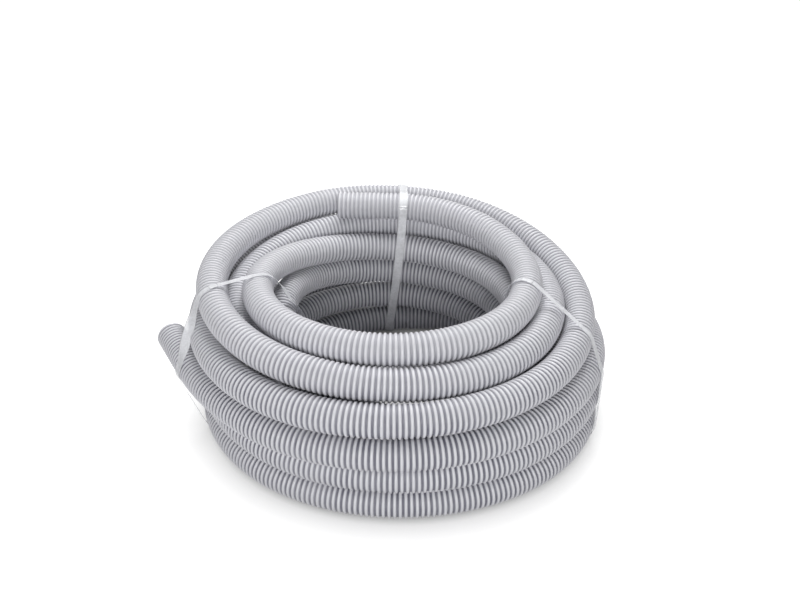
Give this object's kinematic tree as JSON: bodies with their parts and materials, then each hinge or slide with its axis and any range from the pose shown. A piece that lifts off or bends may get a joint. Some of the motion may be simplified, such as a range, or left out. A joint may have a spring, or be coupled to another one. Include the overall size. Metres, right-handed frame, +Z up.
{
  "type": "sewer hose kit",
  "caption": "Coiled ribbed waste-water hose for a caravan or recreational vehicle, held by clear band ties, with both cut ends free.",
  "frame": {"origin": "under the middle of the bounding box, on the surface that the coil lies on", "axes": "+Z up, across the coil's layers; +X across the coil to the right, along its longest extent, with the lower free end on the -X side; +Y away from the viewer of the picture"},
  "size_m": [0.4666, 0.4183, 0.1812],
  "materials": {
    "hose": "satin",
    "tie_film": "clear film"
  },
  "bodies": {
    "root": {"hose_coil": "hose", "hose_end_lower": "hose", "hose_end_upper": "hose", "tie_back": "tie_film", "tie_left": "tie_film", "tie_right": "tie_film"}
  },
  "joints": []
}
